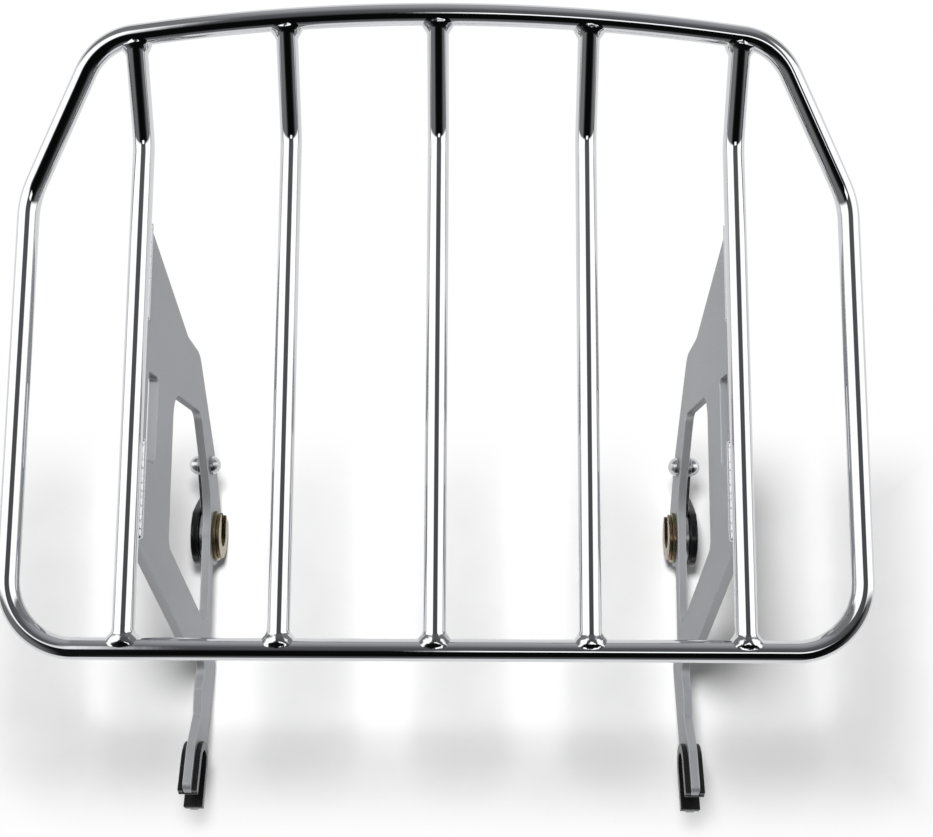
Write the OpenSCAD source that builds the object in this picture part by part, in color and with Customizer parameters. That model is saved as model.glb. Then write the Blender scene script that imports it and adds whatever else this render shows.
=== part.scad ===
// Detachable motorcycle luggage rack: a bent rod deck on two side plates.
// Each plate has an open front notch with a plastic liner and a rotary rear latch.
// Frame: +X to the right, +Y to the rear, +Z up. The origin is on the front
// docking axis, midway between the plates.

/* [Deck] */
// Diameter of the hoop and bar rods
rod_d = 10; // [8:0.5:13]
// Width of the hoop between its rod centre lines
deck_w = 381; // [340:1:420]
// Length of the deck between the front and back rod centre lines
deck_len = 285.5; // [270:0.5:310]
// Length of the level part, from the front rod to the side bends
deck_level = 206; // [190:1:215]
// Height of the back rod above the level part
back_rise = 26; // [15:1:40]
// Height of the deck rods above the front docking axis
deck_z = 162; // [145:1:190]
// Distance of the front rod behind the front docking axis
deck_y = 67; // [55:1:80]

/* [Hoop bends] */
// Centre line radius of the front corners
front_corner_r = 31; // [20:1:45]
// Centre line radius of the back corners
back_corner_r = 30; // [20:1:36]
// Centre line radius of the bends that lift the back of the hoop
side_bend_r = 30; // [15:1:45]
// Distance of the squared-off back corners outside the outer bars' centre lines
corner_margin = 10.43166; // [6:0.00001:16]
// Centre line radius of the bowed back rod
back_bow_r = 1000; // [800:10:2000]

/* [Bars] */
// Distance between neighbouring bars
bar_pitch = 69; // [62:0.5:72]
// Slope of the lifted ends of the bars, in degrees
bar_slope = 28; // [22:0.5:34]
// Centre line radius of the bar bends
bar_bend_r = 22; // [12:1:40]

/* [Welds] */
// Length of a rod weld along the surface of the hoop, from the bar's side
weld_leg = 3.2; // [2:0.1:4]
// Height of a rod weld over the top of the rods
weld_crown = 1.5; // [0.8:0.1:2.5]
// Radius of the beads between the plates and the bars
bead_r = 2.3; // [1.8:0.1:3]
// Radius of the crown over a rod weld
weld_crown_r = 12; // [9:0.5:20]
// Length of each plate bead
bead_l = 52; // [40:1:60]
// Distance of each plate bead from the end of the plate's top edge
bead_inset = 5; // [3:1:10]
// Root gap left in every welded joint
weld_gap = 0.05; // [0.02:0.01:0.1]

/* [Side plates] */
// Thickness of the side plates
plate_t = 4.8; // [4:0.1:6]
// Start of the plate's top edge behind the front rod
top_front = 49.5; // [42:0.5:56]
// End of the plate's top edge behind the front rod
top_rear = 199; // [190:1:205]
// Distance of the plate's rear shoulder behind the front rod
shoulder_run = 162; // [154:1:170]
// Distance of the rear shoulder below the bars
shoulder_drop = 97; // [90:1:104]
// Radius of the rear shoulder
shoulder_r = 20; // [12:1:28]
// Distance of the rear elbow behind the front rod
elbow_run = 159; // [152:1:166]
// Distance of the rear elbow below the bars
elbow_drop = 128; // [122:1:134]
// Radius of the rear elbow
elbow_r = 18; // [10:1:24]
// Distance of the front knee in front of the rear docking axis
knee_ahead = 60; // [54:1:64]
// Height of the front knee above the rear docking axis
knee_rise = 76; // [70:1:82]
// Radius of the front knee
knee_r = 60; // [40:1:80]
// Distance of the foot's neck in front of the rear docking axis
neck_ahead = 74; // [70:1:76]
// Half height of the foot's neck
neck_half = 12; // [10:0.5:13]
// Height of the ledge over the foot above the rear docking axis
ledge_rise = 26; // [24:0.5:28]
// Distance of the ledge's rear end in front of the rear docking axis
ledge_start = 87; // [84:1:90]
// Distance of the ledge's front end in front of the rear docking axis
ledge_end = 103; // [100:1:106]
// Radius of the neck's inner bends
neck_r = 8; // [5:0.5:10]
// Radius of the ledge's corners
ledge_r = 5; // [3:0.5:7]
// Radius of the heel under the foot
heel_r = 7; // [4:0.5:9]
// Distance of the toe's rear corner behind the rivet
toe_behind = 2; // [0:0.5:4]
// Distance of the toe's rear corner below the rivet
toe_below = 15; // [12:0.5:18]
// Radius of the toe
toe_r = 8; // [5:0.5:10]
// Width of the front leg at the top of the window
front_leg_w = 29; // [24:1:34]
// Width of the rear leg beside the window
rear_leg_w = 32; // [26:1:38]
// Distance of the window's top below the bars
window_drop = 70; // [62:1:80]
// Height of the slender strip under the window
strip_h = 10.5; // [8:0.5:14]
// Radius of the window's top corner at the front leg
window_front_r = 8; // [5:0.5:12]
// Radius of the window's corners at the rear leg
window_rear_r = 12; // [8:0.5:16]
// Distance of the window's lower rear corner below the elbow
window_rear_drop = 8; // [4:0.5:12]
// Distance of the window's foot behind the rear docking axis
window_foot_run = 19; // [15:0.5:23]
// Radius of the bend at the window's foot
window_foot_r = 40; // [25:1:50]
// Length of the strip between the window and the foot's neck
strip_l = 19.5; // [16:0.5:23]
// Radius of the window's front corner over the strip
window_tip_r = 9; // [6:0.5:12]
// Length of the strap slot under the bar
strap_slot_l = 42; // [34:1:50]
// Height of the strap slot
strap_slot_h = 10; // [7:0.5:14]
// Radius of the strap slot's corners
strap_slot_r = 2.5; // [1.5:0.25:3.5]
// Distance of the strap slot's centre in front of the middle of the top edge
strap_slot_shift = 17; // [10:1:20]
// Distance of the strap slot's centre below the bar
strap_slot_drop = 31; // [26:1:38]

/* [Front notch] */
// Diameter of the docking stud that the notches take
stud_d = 14; // [12:0.5:15]
// Upward tilt of the notches, in degrees
notch_tilt = 20; // [10:1:28]
// Height of the foot across the notch
foot_h = 30; // [28:0.5:36]
// Reach of the upper jaw in front of the docking axis
upper_jaw = 17; // [14:0.5:22]
// Reach of the lower jaw in front of the docking axis
lower_jaw = 24; // [20:0.5:30]
// Reach of the foot behind the docking axis, along its top
jaw_back = 5.5; // [4:0.5:8]
// Radius of the bend at the back of the foot's top
jaw_root_r = 8; // [5:0.5:10]
// Radius of the rounded jaw tips
jaw_tip_r = 4; // [2:0.5:5]
// Wall of the liner inside the notch
liner_wall = 1.5; // [1:0.1:2]
// Width of the liner's flanges around the notch
liner_lip = 3.5; // [2.5:0.1:4.5]
// Thickness of each liner flange
liner_flange_t = 2.9; // [2:0.1:4]
// Distance of the liner's flanges behind the jaw tips
liner_setback = 1; // [0:0.25:2]
// Clearance between the liner and the plate
liner_gap = 0.1; // [0.05:0.05:0.3]

/* [Rear latch] */
// Distance of the rear docking axis behind the front one
rear_dock_y = 129; // [122:1:136]
// Distance of the rear docking axis below the front one
rear_dock_drop = 28; // [25:0.5:31]
// Radius of the rotary barrel
barrel_r = 12; // [11:0.25:13]
// Running clearance between the barrel and its seat
barrel_play = 0.06; // [0.03:0.01:0.1]
// Width of the plate around the barrel's seat
lobe_wall = 6; // [5:0.25:8]
// Clearance of the plate's mouth on each side of the docking stud
mouth_gap = 0.5; // [0.3:0.1:0.8]
// Thickness of the barrel's inner flange
flange_t = 2; // [1.5:0.1:3]
// Width of the barrel's inner flange outside the barrel
flange_lip = 2; // [1.5:0.1:3]
// Thickness of the retaining ring
ring_t = 2; // [1.5:0.1:3]
// Width of the retaining ring
ring_w = 3.4; // [2.5:0.1:4]
// Thickness of the keeper strap
strap_t = 2.2; // [1.5:0.1:3]
// Width of the keeper strap between its eyes
strap_w = 10; // [8:0.5:12]
// Width of the keeper strap's eyes outside the barrel and the rivet
strap_eye_w = 3.5; // [3:0.25:4.5]
// Clearance between stacked latch pieces
stack_gap = 0.15; // [0.1:0.05:0.3]

/* [Lever] */
// Radius of the lever's round end
lever_r = 18; // [16:0.5:20]
// Radius of the lever's tip
lever_tip_r = 6; // [5:0.5:8]
// Distance from the barrel's axis to the centre of the tip
lever_reach = 22; // [19:0.5:26]
// Thickness of the lever at its axis
lever_t = 5.3; // [4.8:0.1:7]
// Radius of the lever's crowned face
lever_crown_r = 170; // [140:5:300]
// Angle of the closed lever below the level, in degrees
lever_angle = 25; // [15:1:35]
// Side of the square drive between barrel and lever
drive_w = 9; // [8:0.5:10]
// Depth of the square drive
drive_h = 2.6; // [2:0.1:3]
// Clearance of the square drive
drive_gap = 0.1; // [0.05:0.05:0.2]

/* [Fasteners] */
// Radius of the domed rivet heads
rivet_head_r = 5.5; // [5:0.25:6.5]
// Distance of the rivet behind the rear docking axis
rivet_run = 39; // [36:0.5:42]
// Height of the rivet above the rear docking axis
rivet_rise = 21; // [18:0.5:24]
// Radius of the rivet shank
rivet_r = 3; // [2.5:0.25:3.5]
// Radius of the lever screw's thread
screw_r = 2; // [1.5:0.25:2.5]
// Radius of the lever screw's head
screw_head_r = 4; // [3.5:0.25:4.5]
// Height of the lever screw's head
screw_head_h = 2; // [1.5:0.1:2.2]
// Clearance of the fasteners in their holes
hole_gap = 0.1; // [0.05:0.05:0.2]

/* [Hidden] */

$fn = 64;
corner_steps = 8;
crown_fn = 360;

chrome = [0.78, 0.79, 0.82];
plate_grey = [0.62, 0.64, 0.68];
near_black = [0.06, 0.06, 0.06];
zinc_yellow = [0.66, 0.56, 0.30];
steel = [0.55, 0.55, 0.57];

rod_r = rod_d / 2;
half_w = deck_w / 2;
bar_places = [-2, -1, 0, 1, 2];
plate_x = 2 * bar_pitch;

// The lifted back lies in one tilted plane, hinged on the line of the side bends
back_run = deck_len - deck_level;
back_tilt = atan(back_rise / back_run);
back_depth = norm([back_run, back_rise]);
side_lean = atan((half_w - plate_x - corner_margin) / back_depth);
lean_dir = [-sin(side_lean), cos(side_lean)];
lean_in = [-cos(side_lean), -sin(side_lean)];
bow_centre = [0, back_depth - back_bow_r];
corner_start = [half_w, 0] + back_corner_r * lean_in - bow_centre;
corner_orbit = back_bow_r - back_corner_r;
corner_half_b = corner_start * lean_dir;
corner_along = -corner_half_b
    + sqrt(pow(corner_half_b, 2) - corner_start * corner_start + pow(corner_orbit, 2));
back_corner = corner_start + corner_along * lean_dir + bow_centre;
bow_angle = atan2(back_corner.x - bow_centre.x, back_corner.y - bow_centre.y);

// Frame of the left side where its bend starts: running direction, outward and the bend's axis
run_dir = [-sin(side_lean), -cos(side_lean) * cos(back_tilt), -cos(side_lean) * sin(back_tilt)];
out_dir = [-cos(side_lean), sin(side_lean) * cos(back_tilt), sin(side_lean) * sin(back_tilt)];
front_dir = [0, -1, 0];
side_turn = acos(run_dir * front_dir);
side_trim = side_bend_r * tan(side_turn / 2);
bend_axis = cross(run_dir, front_dir) / norm(cross(run_dir, front_dir));
roll_in = atan2(bend_axis * out_dir, bend_axis * cross(out_dir, run_dir));
roll_out = atan2(cross(front_dir, bend_axis).z, bend_axis.z);

// How far a back corner strays from the bow's line beside the outer bars
corner_creep = pow(max(0, plate_x + rod_r - back_bow_r * sin(bow_angle)), 2) / 2
    * (1 / back_corner_r - 1 / back_bow_r);
bow_spare = 1;

// Bending draws the rod a hair thinner, and each bend reaches into the straight rods
bend_draw = 0.015 * rod_d;
bend_lap = 0.1;
rod_fn = 48;
bend_fn = 180;
bow_fn = 1440;

// What each cutter reaches past the face that it cuts
cut_over = 1;

// Heights and places of the plate's corners, from the docking axes and the deck
rear_dock_z = -rear_dock_drop;
lobe_r = barrel_r + barrel_play + lobe_wall;
notch_dir = [-cos(notch_tilt), sin(notch_tilt)];
notch_up = [sin(notch_tilt), cos(notch_tilt)];
notch_r = stud_d / 2;
liner_out_r = notch_r + liner_wall;
slot_cut_r = liner_out_r + liner_gap;
notch_flare = 1;
tangent_inset = 0.02;
lobe_sink = 0.2;
lobe_foot = 46;
strip_sink = 0.5;
shoulder = [deck_y + shoulder_run, deck_z - shoulder_drop];
elbow = [deck_y + elbow_run, deck_z - elbow_drop];
strip_top = rear_dock_z + lobe_r - strip_sink;
window_top = deck_z - window_drop;
knee = [rear_dock_y - knee_ahead, rear_dock_z + knee_rise];
heel = [rear_dock_y - neck_ahead, rear_dock_z - neck_half];
valley = [rear_dock_y - neck_ahead, rear_dock_z + neck_half];
ledge_back = [rear_dock_y - ledge_start, rear_dock_z + ledge_rise];
ledge_front = [rear_dock_y - ledge_end, rear_dock_z + ledge_rise];
rivet_at = [rear_dock_y + rivet_run, rear_dock_z + rivet_rise];
toe_back = rivet_at + [toe_behind, -toe_below];
leg_lean = (deck_y + top_front - knee.x) / (deck_z - knee.y);
leg_front_y = deck_y + top_front - leg_lean * (deck_z - window_top);
strip_front = [valley.x + strip_l, strip_top];
window_foot = [rear_dock_y + window_foot_run, strip_top];
plate_top = deck_z - rod_r + cut_over;

// Stack of the latch along X, measured from the middle of the plate
inner_face = -plate_t / 2;
outer_face = plate_t / 2;
strap_out = outer_face + stack_gap + strap_t;
lever_in = strap_out + stack_gap;
ring_in = inner_face - stack_gap - ring_t;
barrel_in = ring_in - stack_gap - flange_t;
mouth_half = stud_d / 2 + mouth_gap;

// Points of a rounded corner at b, between its neighbours a and c
function turn(a, b, c, r) =
    r == 0 ? [b] :
    let (
        u = (a - b) / norm(a - b),
        v = (c - b) / norm(c - b),
        half = acos(u * v) / 2,
        middle = b + (u + v) / norm(u + v) * r / sin(half),
        start = b + u * r / tan(half) - middle,
        end = b + v * r / tan(half) - middle,
        first = atan2(start.y, start.x),
        sweep = atan2(start.x * end.y - start.y * end.x, start * end)
    )
    [for (i = [0 : corner_steps])
        middle + r * [cos(first + sweep * i / corner_steps), sin(first + sweep * i / corner_steps)]];

// Outline through corners [y, z, radius]
function rounded(corners) =
    let (n = len(corners), p = [for (c = corners) [c.x, c.y]])
    [for (i = [0 : n - 1]) each turn(p[(i + n - 1) % n], p[i], p[(i + 1) % n], corners[i].z)];

function corner(p, r) = [p.x, p.y, r];
function foot(along, across) = along * notch_dir + across * notch_up;

// Distance of the bowed back rod from the bend line, at x
function bow_at(x) = bow_centre.y + sqrt(pow(back_bow_r, 2) - x * x);

// Round rod from a to b
module rod(a, b, d) {
    along = b - a;
    translate(a)
        rotate([0, acos(along.z / norm(along)), atan2(along.y, along.x)])
            cylinder(h = norm(along), d = d);
}

// Straight rod along +Y, with what follows it placed at its end. The seam of its
// round face is rolled by the angle that lines it up with its neighbours.
module forward(l, seam = 0) {
    rotate([-90, seam, 0])
        cylinder(h = l, d = rod_d, $fn = rod_fn);
    translate([0, l, 0])
        children();
}

// Bent rod that leaves along +Y and turns left, with what follows it at its end.
// It is a hair thinner than a straight rod, and its ends reach into their neighbours.
module left_bend(r, turned, seam = 0) {
    lap = bend_lap / r * 180 / PI;
    translate([-r, 0, 0]) {
        rotate([0, 0, -lap])
            rotate_extrude(angle = turned + 2 * lap, $fn = bend_fn)
                translate([r, 0])
                    rotate(-seam)
                        circle(d = rod_d - bend_draw, $fn = rod_fn);
        rotate([0, 0, turned])
            translate([r, 0, 0])
                children();
    }
}

// Places a shape on the deck, with the front rod's centre line as its origin
module on_deck() {
    translate([0, deck_y, deck_z])
        children();
}

// Places a shape in the tilted plane of the hoop's lifted back
module on_back() {
    translate([0, deck_level, 0])
        rotate([back_tilt, 0, 0])
            children();
}

// Extrudes an outline of [y, z] points along X, from x0 to x1
module slab(x0, x1) {
    translate([x0, 0, 0])
        rotate([90, 0, 90])
            linear_extrude(x1 - x0)
                children();
}

// Puts a shape made round the middle of a plate on the left or the right plate
module on_side(side) {
    if (side > 0) {
        translate([plate_x, 0, 0])
            children();
    } else {
        mirror([1, 0, 0])
            translate([plate_x, 0, 0])
                children();
    }
}

// Puts a shape on the rear docking axis
module on_rear_dock() {
    translate([0, rear_dock_y, rear_dock_z])
        children();
}

// Cylinder along X, from x0 to x1
module drum(x0, x1, r) {
    translate([x0, 0, 0])
        rotate([0, 90, 0])
            cylinder(h = x1 - x0, r = r);
}

// The bowed back rod, over the given angle on each side of the middle
module back_rod(d, spread) {
    on_back()
        translate([bow_centre.x, bow_centre.y, 0])
            rotate([0, 0, 90 - spread])
                rotate_extrude(angle = 2 * spread, $fn = bow_fn)
                    translate([back_bow_r, 0])
                        circle(d = d, $fn = rod_fn);
}

// The hoop's left side, from the end of the bowed back rod to the front rod
module hoop_side() {
    side_seam = -roll_in;
    front_seam = -roll_in - roll_out;
    on_back()
        translate([bow_centre.x, bow_centre.y, 0])
            rotate([0, 0, 90 + bow_angle])
                translate([back_bow_r, 0, 0])
                    left_bend(back_corner_r, 90 - side_lean - bow_angle)
                    forward(corner_along - side_trim)
                    rotate([0, roll_in, 0])
                    left_bend(side_bend_r, side_turn, side_seam)
                    rotate([0, roll_out, 0])
                    forward(deck_level - side_trim - front_corner_r, front_seam)
                    left_bend(front_corner_r, 90, front_seam);
}

// The closed rod frame round the deck, bent from one rod
module hoop() {
    front_half = half_w - front_corner_r;
    color(chrome)
        on_deck()
            union() {
                back_rod(rod_d, bow_angle);
                hoop_side();
                mirror([1, 0, 0])
                    hoop_side();
                translate([-front_half, 0, 0])
                    rotate([0, 0, -90])
                        forward(2 * front_half, -roll_in - roll_out);
            }
}

// Centre line points of the bar at x: its bend and its end on the back rod
function bar_end(x) = [x, deck_level + bow_at(x) * cos(back_tilt), bow_at(x) * sin(back_tilt)];
function bar_bend(x) = [x, bar_end(x).y - bar_end(x).z / tan(bar_slope), 0];

// Bar at x before its ends are cut to fit the hoop
module bar_stock(x) {
    trim = bar_bend_r * tan(bar_slope / 2);
    translate([x, 0, 0])
        rotate([0, 90, 0])
            forward(bar_bend(x).y - trim)
            left_bend(bar_bend_r, bar_slope)
            forward(norm(bar_end(x) - bar_bend(x)) - trim);
}

module bar(place) {
    x = place * bar_pitch;
    back_gap = weld_gap + (abs(place) == 2 ? corner_creep : 0);
    color(chrome)
        on_deck()
            difference() {
                bar_stock(x);
                rod([x - rod_d, 0, 0], [x + rod_d, 0, 0], rod_d + 2 * weld_gap);
                back_rod(rod_d + 2 * back_gap, bow_angle + bow_spare);
            }
}

// Lens-shaped weld bead round a rod that runs along +Y, cut to fit round the rod
module weld_lens() {
    lens_r = rod_r + weld_leg;
    crown_drop = rod_r + weld_crown - weld_crown_r;
    difference() {
        translate([0, weld_leg, 0])
            intersection() {
                sphere(r = lens_r);
                translate([0, 0, crown_drop])
                    drum(-lens_r, lens_r, weld_crown_r);
                translate([0, 0, -crown_drop])
                    drum(-lens_r, lens_r, weld_crown_r);
            }
        rod([0, -rod_d, 0], [0, 2 * rod_d, 0], rod_d);
    }
}

module front_welds() {
    color(chrome)
        on_deck()
            for (place = bar_places) {
                difference() {
                    translate([place * bar_pitch, 0, 0])
                        weld_lens();
                    rod([-half_w, 0, 0], [half_w, 0, 0], rod_d);
                }
            }
}

// Left back corner of the hoop, as a cutting tool
module back_corner(d) {
    on_back()
        translate([bow_centre.x, bow_centre.y, 0])
            rotate([0, 0, 90 + bow_angle])
                translate([back_bow_r - back_corner_r, 0, 0])
                    rotate_extrude(angle = 90 - side_lean - bow_angle, $fn = bend_fn)
                        translate([back_corner_r, 0])
                            circle(d = d, $fn = rod_fn);
}

// Weld round the rear end of the bar at x, on the left half of the deck
module rear_weld(x) {
    difference() {
        translate(bar_end(x))
            rotate([bar_slope, 0, 0])
                mirror([0, 1, 0])
                    weld_lens();
        translate(bar_end(x))
            rotate([back_tilt, 0, 0])
                rotate([0, 0, -asin(x / back_bow_r)])
                    rod([-2 * rod_d, 0, 0], [2 * rod_d, 0, 0], rod_d + 2 * weld_gap);
        if (x <= -plate_x)
            back_corner(rod_d + 4 * weld_gap);
    }
}

module rear_welds() {
    color(chrome)
        on_deck()
            for (place = bar_places) {
                mirror([place > 0 ? 1 : 0, 0, 0])
                    rear_weld(-abs(place) * bar_pitch);
            }
}

// Outline of the plate without its window, lobe and notches
module plate_outline() {
    foot_r = lobe_r - lobe_sink;
    strip_floor = strip_top - strip_h;
    polygon(rounded([
        [deck_y + top_front, plate_top, 0],
        [deck_y + top_rear, plate_top, 0],
        corner(shoulder, shoulder_r),
        corner(elbow, elbow_r),
        corner(toe_back, toe_r),
        [rear_dock_y + foot_r * cos(lobe_foot), rear_dock_z - foot_r * sin(lobe_foot), 0],
        [rear_dock_y, rear_dock_z, 0],
        [rear_dock_y - lobe_r / 2, strip_floor, 0],
        [heel.x + neck_half, strip_floor, neck_r],
        corner(heel, heel_r),
        corner(foot(lower_jaw, -foot_h / 2), jaw_tip_r),
        corner(foot(upper_jaw, foot_h / 2), jaw_tip_r),
        corner(foot(-jaw_back, foot_h / 2), jaw_root_r),
        corner(ledge_front, ledge_r),
        corner(ledge_back, ledge_r),
        corner(valley, neck_r),
        corner(knee, knee_r)
    ]));
}

// The large opening between the plate's two legs
module window_outline() {
    polygon(rounded([
        [leg_front_y + front_leg_w, window_top, window_front_r],
        [elbow.x - rear_leg_w, window_top, window_rear_r],
        [elbow.x - rear_leg_w, elbow.y - window_rear_drop, window_rear_r],
        corner(window_foot, window_foot_r),
        corner(strip_front, window_tip_r)
    ]));
}

// Slot with round corners for a tie-down strap
module strap_slot_outline() {
    y0 = deck_y + (top_front + top_rear) / 2 - strap_slot_l / 2 - strap_slot_shift;
    y1 = y0 + strap_slot_l;
    z0 = deck_z - strap_slot_drop - strap_slot_h / 2;
    z1 = z0 + strap_slot_h;
    polygon(rounded([for (p = [[y0, z0], [y1, z0], [y1, z1], [y0, z1]]) corner(p, strap_slot_r)]));
}

// Half width of a notch of radius r at a distance in front of the docking axis
function notch_half(r, along) = r - tangent_inset + along * tan(notch_flare);

// Notch of radius r round the front docking axis, slightly flared to the front
module notch_outline(r) {
    mouth = 3 * lower_jaw;
    circle(r = r);
    polygon([
        foot(0, -notch_half(r, 0)),
        foot(mouth, -notch_half(r, mouth)),
        foot(mouth, notch_half(r, mouth)),
        foot(0, notch_half(r, 0))
    ]);
}

// U shape round a notch of radius r that ends on the slanted line of the jaw tips
module liner_shape(r, reach) {
    slant = (foot_h / 2 - r) * (lower_jaw - upper_jaw) / foot_h;
    low = reach - slant;
    lip = upper_jaw + slant;
    circle(r = r);
    polygon([
        foot(0, -notch_half(r, 0)),
        foot(low, -notch_half(r, low)),
        foot(lip, notch_half(r, lip)),
        foot(0, notch_half(r, 0))
    ]);
}

module side_plate(side) {
    color(plate_grey)
        on_side(side)
            difference() {
                union() {
                    difference() {
                        slab(inner_face, outer_face)
                            plate_outline();
                        slab(inner_face - cut_over, outer_face + cut_over)
                            window_outline();
                    }
                    on_rear_dock()
                        drum(inner_face, outer_face, lobe_r);
                }
                slab(inner_face - cut_over, outer_face + cut_over) {
                    strap_slot_outline();
                    notch_outline(slot_cut_r);
                }
                on_rear_dock() {
                    drum(inner_face - cut_over, outer_face + cut_over, barrel_r + barrel_play);
                    translate([inner_face - cut_over, -mouth_half, -2 * lobe_r])
                        cube([plate_t + 2 * cut_over, 2 * mouth_half, 2 * lobe_r]);
                }
                translate([0, rivet_at.x, rivet_at.y])
                    drum(inner_face - cut_over, outer_face + cut_over, rivet_r + hole_gap);
                rod([0, deck_y, deck_z], [0, deck_y + deck_level, deck_z], rod_d + 2 * weld_gap);
            }
}

// Bead with round ends between the plate and the underside of its bar
module bead(y0, y1) {
    drop = sqrt(pow(rod_r, 2) - pow(outer_face, 2)) + bead_r / 2;
    for (face = [-1, 1]) {
        difference() {
            translate([face * (outer_face + bead_r / 2), 0, deck_z - drop]) {
                rod([0, y0, 0], [0, y1, 0], 2 * bead_r);
                translate([0, y0, 0])
                    sphere(r = bead_r);
                translate([0, y1, 0])
                    sphere(r = bead_r);
            }
            rod([0, deck_y, deck_z], [0, deck_y + deck_level, deck_z], rod_d);
            translate([inner_face, y0 - 2 * bead_r, deck_z - 2 * rod_d])
                cube([plate_t, y1 - y0 + 4 * bead_r, 2 * rod_d]);
        }
    }
}

module plate_welds(side) {
    color(chrome)
        on_side(side) {
            bead(deck_y + top_front + bead_inset, deck_y + top_front + bead_inset + bead_l);
            bead(deck_y + top_rear - bead_inset - bead_l, deck_y + top_rear - bead_inset);
        }
}

// Plastic liner that rides in the front notch, with a flange on each face
module notch_liner(side) {
    color(near_black)
        on_side(side)
            difference() {
                union() {
                    slab(inner_face - liner_flange_t, outer_face + liner_flange_t)
                        liner_shape(liner_out_r, lower_jaw);
                    slab(inner_face - liner_flange_t, inner_face - liner_gap)
                        liner_shape(liner_out_r + liner_lip, lower_jaw - liner_setback);
                    slab(outer_face + liner_gap, outer_face + liner_flange_t)
                        liner_shape(liner_out_r + liner_lip, lower_jaw - liner_setback);
                }
                slab(-2 * plate_t - liner_flange_t, 2 * plate_t + liner_flange_t)
                    notch_outline(notch_r);
            }
}

// Flat strap that keeps the barrel, from the rivet to an eye round the barrel
module keeper_strap(side) {
    reach = norm(rivet_at - [rear_dock_y, rear_dock_z]);
    aim = atan2(rivet_at.y - rear_dock_z, rivet_at.x - rear_dock_y);
    color(steel)
        on_side(side)
            on_rear_dock()
                slab(outer_face + stack_gap, strap_out)
                    rotate(aim)
                        difference() {
                            union() {
                                circle(r = barrel_r + strap_eye_w);
                                translate([0, -strap_w / 2])
                                    square([reach, strap_w]);
                                translate([reach, 0])
                                    circle(r = rivet_r + strap_eye_w);
                            }
                            circle(r = barrel_r + hole_gap);
                            translate([reach, 0])
                                circle(r = rivet_r + hole_gap);
                        }
}

module dome_rivet(side) {
    color(chrome)
        on_side(side)
            translate([0, rivet_at.x, rivet_at.y]) {
                drum(inner_face, strap_out, rivet_r);
                intersection() {
                    translate([inner_face, 0, 0])
                        sphere(r = rivet_head_r);
                    drum(inner_face - 2 * rivet_head_r, inner_face, 2 * rivet_head_r);
                }
                intersection() {
                    translate([strap_out, 0, 0])
                        sphere(r = rivet_head_r);
                    drum(strap_out, strap_out + 2 * rivet_head_r, 2 * rivet_head_r);
                }
            }
}

// Slot of half width r from the rear docking axis, open to the rear
module stud_slot(x0, x1, r) {
    slab(x0, x1) {
        circle(r = r);
        translate([0, -r])
            square([3 * r, 2 * r]);
    }
}

module latch_barrel(side) {
    color(zinc_yellow)
        on_side(side)
            on_rear_dock()
                difference() {
                    union() {
                        drum(barrel_in, strap_out, barrel_r);
                        drum(barrel_in, barrel_in + flange_t, barrel_r + flange_lip);
                        translate([strap_out, -drive_w / 2, -drive_w / 2])
                            cube([stack_gap + drive_h, drive_w, drive_w]);
                    }
                    stud_slot(barrel_in - cut_over, outer_face, notch_r);
                    drum(outer_face - cut_over, lever_in + lever_t, screw_r + hole_gap / 2);
                }
}

// Open ring that backs the barrel's flange against the plate
module retaining_ring(side) {
    color(zinc_yellow)
        on_side(side)
            on_rear_dock()
                difference() {
                    drum(ring_in, ring_in + ring_t, barrel_r + ring_w);
                    drum(ring_in - cut_over, ring_in + ring_t + cut_over, barrel_r + hole_gap);
                    stud_slot(ring_in - cut_over, ring_in + ring_t + cut_over, mouth_half);
                }
}

// Teardrop block along X, with a big round end on the axis and a small round tip
module teardrop(x0, x1, big_r, small_r, reach) {
    flank = acos((big_r - small_r) / reach);
    drum(x0, x1, big_r);
    translate([0, reach, 0])
        drum(x0, x1, small_r);
    slab(x0, x1)
        polygon([
            (big_r - tangent_inset) * [cos(flank), sin(flank)],
            [reach, 0] + (small_r - tangent_inset) * [cos(flank), sin(flank)],
            [reach, 0] + (small_r - tangent_inset) * [cos(flank), -sin(flank)],
            (big_r - tangent_inset) * [cos(flank), -sin(flank)]
        ]);
}

module latch_lever(side) {
    socket_w = drive_w + 2 * drive_gap;
    color(near_black)
        on_side(side)
            on_rear_dock()
                difference() {
                    intersection() {
                        rotate([-lever_angle, 0, 0])
                            teardrop(lever_in, lever_in + lever_t, lever_r, lever_tip_r, lever_reach);
                        translate([lever_in + lever_t - lever_crown_r, 0, 0])
                            sphere(r = lever_crown_r, $fn = crown_fn);
                    }
                    translate([lever_in - cut_over, -socket_w / 2, -socket_w / 2])
                        cube([cut_over + drive_h + drive_gap, socket_w, socket_w]);
                    drum(lever_in, lever_in + 2 * lever_t, screw_r + hole_gap);
                    drum(lever_in + lever_t - screw_head_h, lever_in + 2 * lever_t, screw_head_r + hole_gap);
                }
}

module lever_screw(side) {
    head_in = lever_in + lever_t - screw_head_h;
    color(steel)
        on_side(side)
            on_rear_dock()
                difference() {
                    union() {
                        drum(outer_face + stack_gap, head_in, screw_r);
                        drum(head_in, lever_in + lever_t - hole_gap, screw_head_r);
                    }
                    translate([lever_in + lever_t - screw_head_h / 2, 0, 0])
                        rotate([0, 90, 0])
                            cylinder(h = screw_head_h, r = screw_r, $fn = 6);
                }
}

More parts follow.
